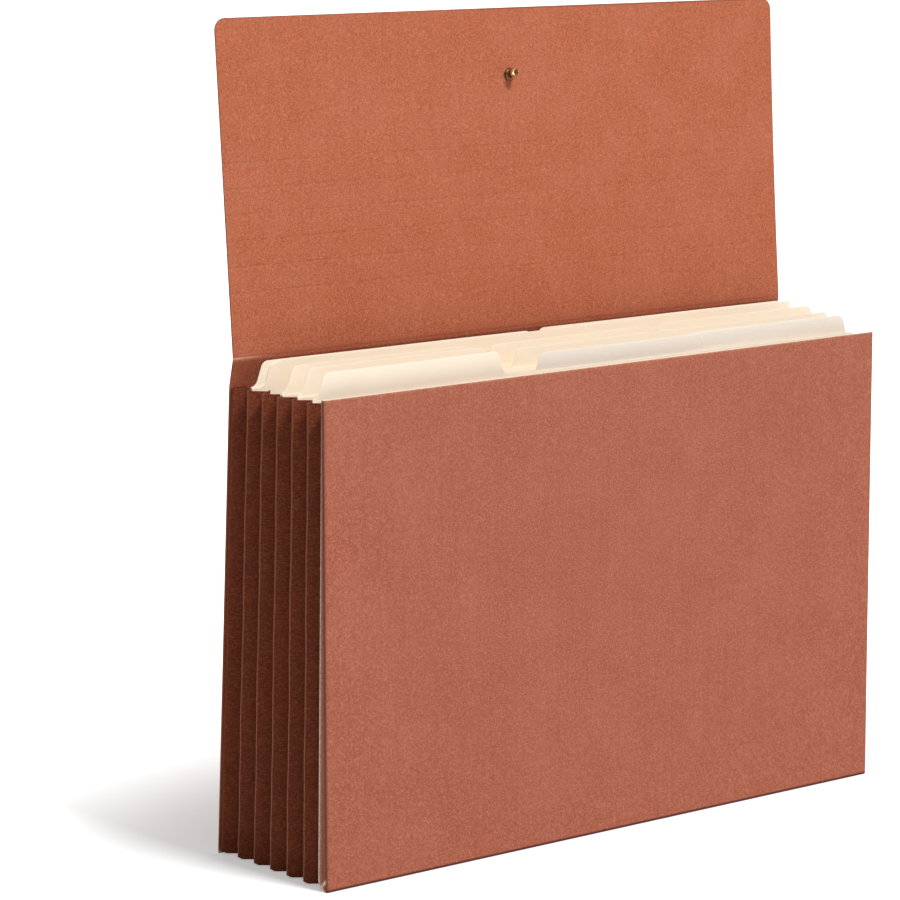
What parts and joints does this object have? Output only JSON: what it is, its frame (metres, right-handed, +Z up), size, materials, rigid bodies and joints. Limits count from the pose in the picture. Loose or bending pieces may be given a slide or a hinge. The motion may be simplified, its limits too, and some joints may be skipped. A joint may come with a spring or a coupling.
{
  "type": "file wallet",
  "caption": "Expanding file wallet of reddish-brown board with a dark pleated gusset, a scored fold-over flap with a brass cord fitting, and tabbed manila folders inside.",
  "frame": {"origin": "on the floor, under the middle of the base", "axes": "+Z up, +X along the width to the right as seen from the front, front panel faces -Y"},
  "size_m": [0.381, 0.097, 0.4371],
  "materials": {
    "board": "matte pressed fibre",
    "gusset": "matte ribbed cloth",
    "manila": "smooth card",
    "brass": "polished"
  },
  "bodies": {
    "back": {"back_panel": "board", "gusset_ridge_6": "gusset"},
    "front": {"front_panel": "board"},
    "ridge_1": {"gusset_ridge_1": "gusset", "folder_1": "manila", "folder_2": "manila", "folder_3": "manila"},
    "ridge_2": {"gusset_ridge_2": "gusset", "folder_4": "manila", "folder_5": "manila", "folder_6": "manila"},
    "ridge_3": {"gusset_ridge_3": "gusset", "folder_7": "manila", "folder_8": "manila", "folder_9": "manila"},
    "ridge_4": {"gusset_ridge_4": "gusset"},
    "ridge_5": {"gusset_ridge_5": "gusset", "folder_10": "manila", "folder_11": "manila"},
    "left_leaf_01": {"left_leaf_01": "gusset"},
    "left_leaf_02": {"left_leaf_02": "gusset"},
    "left_leaf_03": {"left_leaf_03": "gusset"},
    "left_leaf_04": {"left_leaf_04": "gusset"},
    "left_leaf_05": {"left_leaf_05": "gusset"},
    "left_leaf_06": {"left_leaf_06": "gusset"},
    "left_leaf_07": {"left_leaf_07": "gusset"},
    "left_leaf_08": {"left_leaf_08": "gusset"},
    "left_leaf_09": {"left_leaf_09": "gusset"},
    "left_leaf_10": {"left_leaf_10": "gusset"},
    "left_leaf_11": {"left_leaf_11": "gusset"},
    "left_leaf_12": {"left_leaf_12": "gusset"},
    "bottom_leaf_01": {"bottom_leaf_01": "gusset"},
    "bottom_leaf_02": {"bottom_leaf_02": "gusset"},
    "bottom_leaf_03": {"bottom_leaf_03": "gusset"},
    "bottom_leaf_04": {"bottom_leaf_04": "gusset"},
    "bottom_leaf_05": {"bottom_leaf_05": "gusset"},
    "bottom_leaf_06": {"bottom_leaf_06": "gusset"},
    "bottom_leaf_07": {"bottom_leaf_07": "gusset"},
    "bottom_leaf_08": {"bottom_leaf_08": "gusset"},
    "bottom_leaf_09": {"bottom_leaf_09": "gusset"},
    "bottom_leaf_10": {"bottom_leaf_10": "gusset"},
    "bottom_leaf_11": {"bottom_leaf_11": "gusset"},
    "bottom_leaf_12": {"bottom_leaf_12": "gusset"},
    "right_leaf_01": {"right_leaf_01": "gusset"},
    "right_leaf_02": {"right_leaf_02": "gusset"},
    "right_leaf_03": {"right_leaf_03": "gusset"},
    "right_leaf_04": {"right_leaf_04": "gusset"},
    "right_leaf_05": {"right_leaf_05": "gusset"},
    "right_leaf_06": {"right_leaf_06": "gusset"},
    "right_leaf_07": {"right_leaf_07": "gusset"},
    "right_leaf_08": {"right_leaf_08": "gusset"},
    "right_leaf_09": {"right_leaf_09": "gusset"},
    "right_leaf_10": {"right_leaf_10": "gusset"},
    "right_leaf_11": {"right_leaf_11": "gusset"},
    "right_leaf_12": {"right_leaf_12": "gusset"},
    "flap": {"flap_panel": "board"},
    "shoulder": {"flap_shoulder": "board"},
    "tip": {"flap_tip": "board", "cord_eyelet": "brass", "cord_ferrule": "brass"}
  },
  "joints": [
    {"name": "expand", "type": "slide", "parent": "back", "child": "front", "axis": [0, -1, 0], "range_m": [-0.0538, 0]},
    {"name": "ridge_1_slide", "type": "slide", "parent": "back", "child": "ridge_1", "axis": [0, -1, 0], "range_m": [-0.04483, 0]},
    {"name": "ridge_2_slide", "type": "slide", "parent": "back", "child": "ridge_2", "axis": [0, -1, 0], "range_m": [-0.03587, 0]},
    {"name": "ridge_3_slide", "type": "slide", "parent": "back", "child": "ridge_3", "axis": [0, -1, 0], "range_m": [-0.0269, 0]},
    {"name": "ridge_4_slide", "type": "slide", "parent": "back", "child": "ridge_4", "axis": [0, -1, 0], "range_m": [-0.01793, 0]},
    {"name": "ridge_5_slide", "type": "slide", "parent": "back", "child": "ridge_5", "axis": [0, -1, 0], "range_m": [-0.00897, 0]},
    {"name": "left_leaf_01_fold", "type": "hinge", "parent": "front", "child": "left_leaf_01", "pos_m": [-0.18774, -0.0399, 0.00003], "axis": [0, -0.0228, 0.9997], "range_deg": [-34.01, 0]},
    {"name": "left_leaf_02_fold", "type": "hinge", "parent": "ridge_1", "child": "left_leaf_02", "pos_m": [-0.18774, -0.02837, -0.00004], "axis": [0, -0.029, 0.9996], "range_deg": [0, 34.01]},
    {"name": "left_leaf_03_fold", "type": "hinge", "parent": "ridge_1", "child": "left_leaf_03", "pos_m": [-0.18774, -0.02538, 0.00004], "axis": [0, -0.029, 0.9996], "range_deg": [-34.01, 0]},
    {"name": "left_leaf_04_fold", "type": "hinge", "parent": "ridge_2", "child": "left_leaf_04", "pos_m": [-0.18774, -0.01385, -0.00005], "axis": [0, -0.0351, 0.9994], "range_deg": [0, 34.01]},
    {"name": "left_leaf_05_fold", "type": "hinge", "parent": "ridge_2", "child": "left_leaf_05", "pos_m": [-0.18774, -0.01085, 0.00005], "axis": [0, -0.0351, 0.9994], "range_deg": [-34.01, 0]},
    {"name": "left_leaf_06_fold", "type": "hinge", "parent": "ridge_3", "child": "left_leaf_06", "pos_m": [-0.18774, 0.00068, -0.00006], "axis": [0, -0.0413, 0.9991], "range_deg": [0, 34.01]},
    {"name": "left_leaf_07_fold", "type": "hinge", "parent": "ridge_3", "child": "left_leaf_07", "pos_m": [-0.18774, 0.00367, 0.00006], "axis": [0, -0.0413, 0.9991], "range_deg": [-34.01, 0]},
    {"name": "left_leaf_08_fold", "type": "hinge", "parent": "ridge_4", "child": "left_leaf_08", "pos_m": [-0.18774, 0.0152, -0.00007], "axis": [0, -0.0474, 0.9989], "range_deg": [0, 34.01]},
    {"name": "left_leaf_09_fold", "type": "hinge", "parent": "ridge_4", "child": "left_leaf_09", "pos_m": [-0.18774, 0.0182, 0.00007], "axis": [0, -0.0474, 0.9989], "range_deg": [-34.01, 0]},
    {"name": "left_leaf_10_fold", "type": "hinge", "parent": "ridge_5", "child": "left_leaf_10", "pos_m": [-0.18774, 0.02973, -0.00008], "axis": [0, -0.0535, 0.9986], "range_deg": [0, 34.01]},
    {"name": "left_leaf_11_fold", "type": "hinge", "parent": "ridge_5", "child": "left_leaf_11", "pos_m": [-0.18774, 0.03272, 0.00008], "axis": [0, -0.0535, 0.9986], "range_deg": [-34.01, 0]},
    {"name": "left_leaf_12_fold", "type": "hinge", "parent": "back", "child": "left_leaf_12", "pos_m": [-0.18774, 0.04425, -0.00009], "axis": [0, -0.0597, 0.9982], "range_deg": [0, 34.01]},
    {"name": "bottom_leaf_01_fold", "type": "hinge", "parent": "front", "child": "bottom_leaf_01", "pos_m": [0, -0.0399, 0.0006], "axis": [1, 0, 0], "range_deg": [0, 34.01]},
    {"name": "bottom_leaf_02_fold", "type": "hinge", "parent": "ridge_1", "child": "bottom_leaf_02", "pos_m": [0, -0.02838, 0.0006], "axis": [1, 0, 0], "range_deg": [-32.05, 0]},
    {"name": "bottom_leaf_03_fold", "type": "hinge", "parent": "ridge_1", "child": "bottom_leaf_03", "pos_m": [0, -0.02538, 0.0006], "axis": [1, 0, 0], "range_deg": [0, 34.01]},
    {"name": "bottom_leaf_04_fold", "type": "hinge", "parent": "ridge_2", "child": "bottom_leaf_04", "pos_m": [0, -0.01385, 0.0006], "axis": [1, 0, 0], "range_deg": [-31.7, 0]},
    {"name": "bottom_leaf_05_fold", "type": "hinge", "parent": "ridge_2", "child": "bottom_leaf_05", "pos_m": [0, -0.01085, 0.0006], "axis": [1, 0, 0], "range_deg": [0, 34.01]},
    {"name": "bottom_leaf_06_fold", "type": "hinge", "parent": "ridge_3", "child": "bottom_leaf_06", "pos_m": [0, 0.00067, 0.0006], "axis": [1, 0, 0], "range_deg": [-31.35, 0]},
    {"name": "bottom_leaf_07_fold", "type": "hinge", "parent": "ridge_3", "child": "bottom_leaf_07", "pos_m": [0, 0.00367, 0.0006], "axis": [1, 0, 0], "range_deg": [0, 34.01]},
    {"name": "bottom_leaf_08_fold", "type": "hinge", "parent": "ridge_4", "child": "bottom_leaf_08", "pos_m": [0, 0.0152, 0.0006], "axis": [1, 0, 0], "range_deg": [-30.99, 0]},
    {"name": "bottom_leaf_09_fold", "type": "hinge", "parent": "ridge_4", "child": "bottom_leaf_09", "pos_m": [0, 0.0182, 0.0006], "axis": [1, 0, 0], "range_deg": [0, 34.01]},
    {"name": "bottom_leaf_10_fold", "type": "hinge", "parent": "ridge_5", "child": "bottom_leaf_10", "pos_m": [0, 0.02972, 0.0006], "axis": [1, 0, 0], "range_deg": [-30.64, 0]},
    {"name": "bottom_leaf_11_fold", "type": "hinge", "parent": "ridge_5", "child": "bottom_leaf_11", "pos_m": [0, 0.03272, 0.0006], "axis": [1, 0, 0], "range_deg": [0, 34.01]},
    {"name": "bottom_leaf_12_fold", "type": "hinge", "parent": "back", "child": "bottom_leaf_12", "pos_m": [0, 0.04425, 0.0006], "axis": [1, 0, 0], "range_deg": [-30.29, 0]},
    {"name": "right_leaf_01_fold", "type": "hinge", "parent": "front", "child": "right_leaf_01", "pos_m": [0.18774, -0.0399, 0.00003], "axis": [0, -0.0228, 0.9997], "range_deg": [0, 34.01]},
    {"name": "right_leaf_02_fold", "type": "hinge", "parent": "ridge_1", "child": "right_leaf_02", "pos_m": [0.18774, -0.02837, -0.00004], "axis": [0, -0.029, 0.9996], "range_deg": [-34.01, 0]},
    {"name": "right_leaf_03_fold", "type": "hinge", "parent": "ridge_1", "child": "right_leaf_03", "pos_m": [0.18774, -0.02538, 0.00004], "axis": [0, -0.029, 0.9996], "range_deg": [0, 34.01]},
    {"name": "right_leaf_04_fold", "type": "hinge", "parent": "ridge_2", "child": "right_leaf_04", "pos_m": [0.18774, -0.01385, -0.00005], "axis": [0, -0.0351, 0.9994], "range_deg": [-34.01, 0]},
    {"name": "right_leaf_05_fold", "type": "hinge", "parent": "ridge_2", "child": "right_leaf_05", "pos_m": [0.18774, -0.01085, 0.00005], "axis": [0, -0.0351, 0.9994], "range_deg": [0, 34.01]},
    {"name": "right_leaf_06_fold", "type": "hinge", "parent": "ridge_3", "child": "right_leaf_06", "pos_m": [0.18774, 0.00068, -0.00006], "axis": [0, -0.0413, 0.9991], "range_deg": [-34.01, 0]},
    {"name": "right_leaf_07_fold", "type": "hinge", "parent": "ridge_3", "child": "right_leaf_07", "pos_m": [0.18774, 0.00367, 0.00006], "axis": [0, -0.0413, 0.9991], "range_deg": [0, 34.01]},
    {"name": "right_leaf_08_fold", "type": "hinge", "parent": "ridge_4", "child": "right_leaf_08", "pos_m": [0.18774, 0.0152, -0.00007], "axis": [0, -0.0474, 0.9989], "range_deg": [-34.01, 0]},
    {"name": "right_leaf_09_fold", "type": "hinge", "parent": "ridge_4", "child": "right_leaf_09", "pos_m": [0.18774, 0.0182, 0.00007], "axis": [0, -0.0474, 0.9989], "range_deg": [0, 34.01]},
    {"name": "right_leaf_10_fold", "type": "hinge", "parent": "ridge_5", "child": "right_leaf_10", "pos_m": [0.18774, 0.02973, -0.00008], "axis": [0, -0.0535, 0.9986], "range_deg": [-34.01, 0]},
    {"name": "right_leaf_11_fold", "type": "hinge", "parent": "ridge_5", "child": "right_leaf_11", "pos_m": [0.18774, 0.03272, 0.00008], "axis": [0, -0.0535, 0.9986], "range_deg": [0, 34.01]},
    {"name": "right_leaf_12_fold", "type": "hinge", "parent": "back", "child": "right_leaf_12", "pos_m": [0.18774, 0.04425, -0.00009], "axis": [0, -0.0597, 0.9982], "range_deg": [-34.01, 0]},
    {"name": "flap_crease", "type": "hinge", "parent": "back", "child": "flap", "pos_m": [0, 0.02942, 0.26555], "axis": [1, 0, 0], "range_deg": [-105, 86]},
    {"name": "shoulder_fold", "type": "hinge", "parent": "flap", "child": "shoulder", "pos_m": [0, 0.03512, 0.33793], "axis": [1, 0, 0], "range_deg": [0, 45]},
    {"name": "tip_fold", "type": "hinge", "parent": "shoulder", "child": "tip", "pos_m": [0, 0.03615, 0.35109], "axis": [1, 0, 0], "range_deg": [0, 45]}
  ],
  "couplings": [
    {"joint": "ridge_1_slide", "follows": "expand", "ratio": 0.83333},
    {"joint": "ridge_2_slide", "follows": "expand", "ratio": 0.66667},
    {"joint": "ridge_3_slide", "follows": "expand", "ratio": 0.5},
    {"joint": "ridge_4_slide", "follows": "expand", "ratio": 0.33333},
    {"joint": "ridge_5_slide", "follows": "expand", "ratio": 0.16667},
    {"joint": "left_leaf_01_fold", "follows": "expand", "rad_per_m": 11.03},
    {"joint": "left_leaf_02_fold", "follows": "expand", "rad_per_m": -11.03},
    {"joint": "left_leaf_03_fold", "follows": "expand", "rad_per_m": 11.03},
    {"joint": "left_leaf_04_fold", "follows": "expand", "rad_per_m": -11.03},
    {"joint": "left_leaf_05_fold", "follows": "expand", "rad_per_m": 11.03},
    {"joint": "left_leaf_06_fold", "follows": "expand", "rad_per_m": -11.03},
    {"joint": "left_leaf_07_fold", "follows": "expand", "rad_per_m": 11.03},
    {"joint": "left_leaf_08_fold", "follows": "expand", "rad_per_m": -11.03},
    {"joint": "left_leaf_09_fold", "follows": "expand", "rad_per_m": 11.03},
    {"joint": "left_leaf_10_fold", "follows": "expand", "rad_per_m": -11.03},
    {"joint": "left_leaf_11_fold", "follows": "expand", "rad_per_m": 11.03},
    {"joint": "left_leaf_12_fold", "follows": "expand", "rad_per_m": -11.03},
    {"joint": "bottom_leaf_01_fold", "follows": "expand", "rad_per_m": -11.03},
    {"joint": "bottom_leaf_02_fold", "follows": "expand", "rad_per_m": 10.394},
    {"joint": "bottom_leaf_03_fold", "follows": "expand", "rad_per_m": -11.03},
    {"joint": "bottom_leaf_04_fold", "follows": "expand", "rad_per_m": 10.28},
    {"joint": "bottom_leaf_05_fold", "follows": "expand", "rad_per_m": -11.03},
    {"joint": "bottom_leaf_06_fold", "follows": "expand", "rad_per_m": 10.165},
    {"joint": "bottom_leaf_07_fold", "follows": "expand", "rad_per_m": -11.03},
    {"joint": "bottom_leaf_08_fold", "follows": "expand", "rad_per_m": 10.051},
    {"joint": "bottom_leaf_09_fold", "follows": "expand", "rad_per_m": -11.03},
    {"joint": "bottom_leaf_10_fold", "follows": "expand", "rad_per_m": 9.9372},
    {"joint": "bottom_leaf_11_fold", "follows": "expand", "rad_per_m": -11.03},
    {"joint": "bottom_leaf_12_fold", "follows": "expand", "rad_per_m": 9.8232},
    {"joint": "right_leaf_01_fold", "follows": "expand", "rad_per_m": -11.03},
    {"joint": "right_leaf_02_fold", "follows": "expand", "rad_per_m": 11.03},
    {"joint": "right_leaf_03_fold", "follows": "expand", "rad_per_m": -11.03},
    {"joint": "right_leaf_04_fold", "follows": "expand", "rad_per_m": 11.03},
    {"joint": "right_leaf_05_fold", "follows": "expand", "rad_per_m": -11.03},
    {"joint": "right_leaf_06_fold", "follows": "expand", "rad_per_m": 11.03},
    {"joint": "right_leaf_07_fold", "follows": "expand", "rad_per_m": -11.03},
    {"joint": "right_leaf_08_fold", "follows": "expand", "rad_per_m": 11.03},
    {"joint": "right_leaf_09_fold", "follows": "expand", "rad_per_m": -11.03},
    {"joint": "right_leaf_10_fold", "follows": "expand", "rad_per_m": 11.03},
    {"joint": "right_leaf_11_fold", "follows": "expand", "rad_per_m": -11.03},
    {"joint": "right_leaf_12_fold", "follows": "expand", "rad_per_m": 11.03},
    {"joint": "tip_fold", "follows": "shoulder_fold", "ratio": 1}
  ]
}
